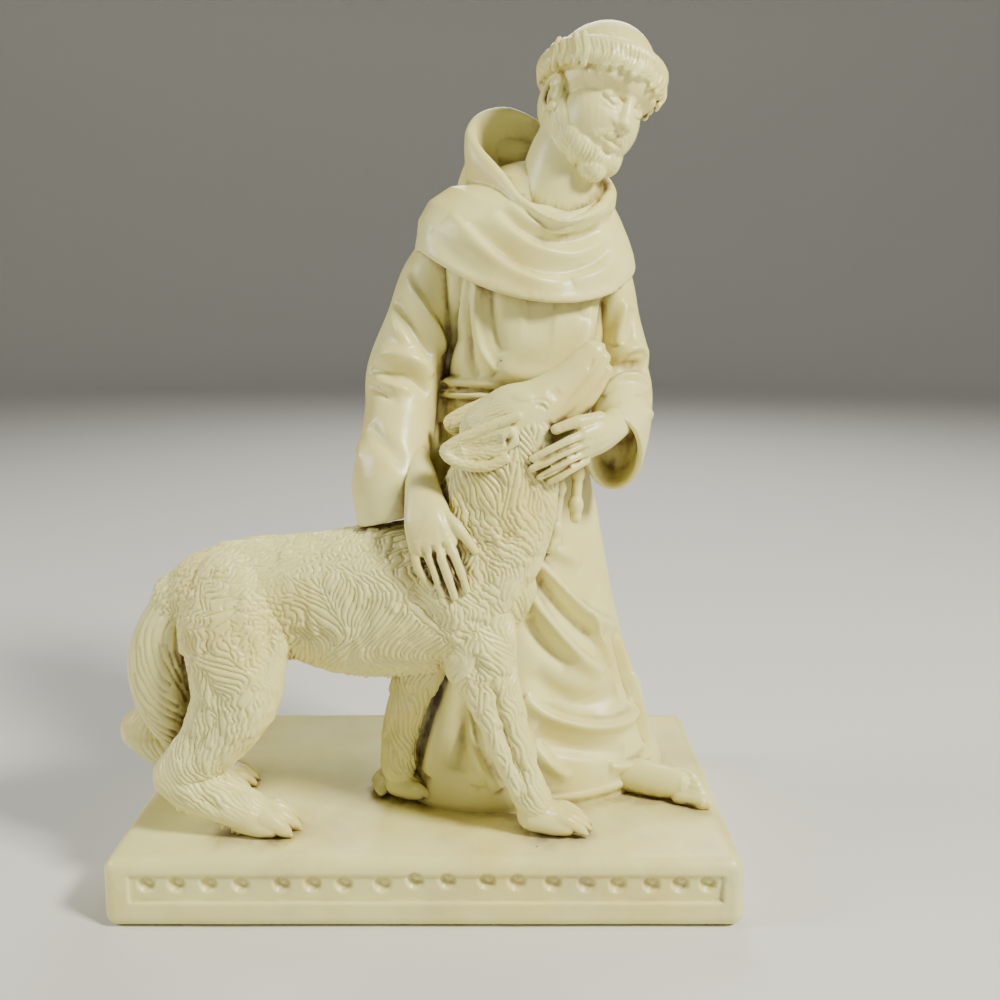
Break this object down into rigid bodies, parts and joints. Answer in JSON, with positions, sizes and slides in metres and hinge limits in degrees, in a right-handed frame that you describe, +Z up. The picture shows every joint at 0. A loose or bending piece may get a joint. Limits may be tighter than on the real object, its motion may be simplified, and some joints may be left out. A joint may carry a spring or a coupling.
{
  "type": "saint francis statue",
  "caption": "Standing robed friar with bowed head, one hand on a tame wolf at his side, cast with a low plinth that has a sunk band of punched hollows on its front",
  "frame": {"origin": "middle of the plinth's underside, on the surface that it stands on", "axes": "+X to the right as seen from the front, +Y to the back, +Z up; the front with the band of hollows faces -Y"},
  "size_m": [0.1756, 0.0962, 0.2338],
  "materials": {
    "resin": "ivory cast resin with a satin gloss, brown dirt in the hollows, grey soiling on the plinth and small dark pits"
  },
  "bodies": {
    "root": {"statue": "resin"}
  },
  "joints": []
}
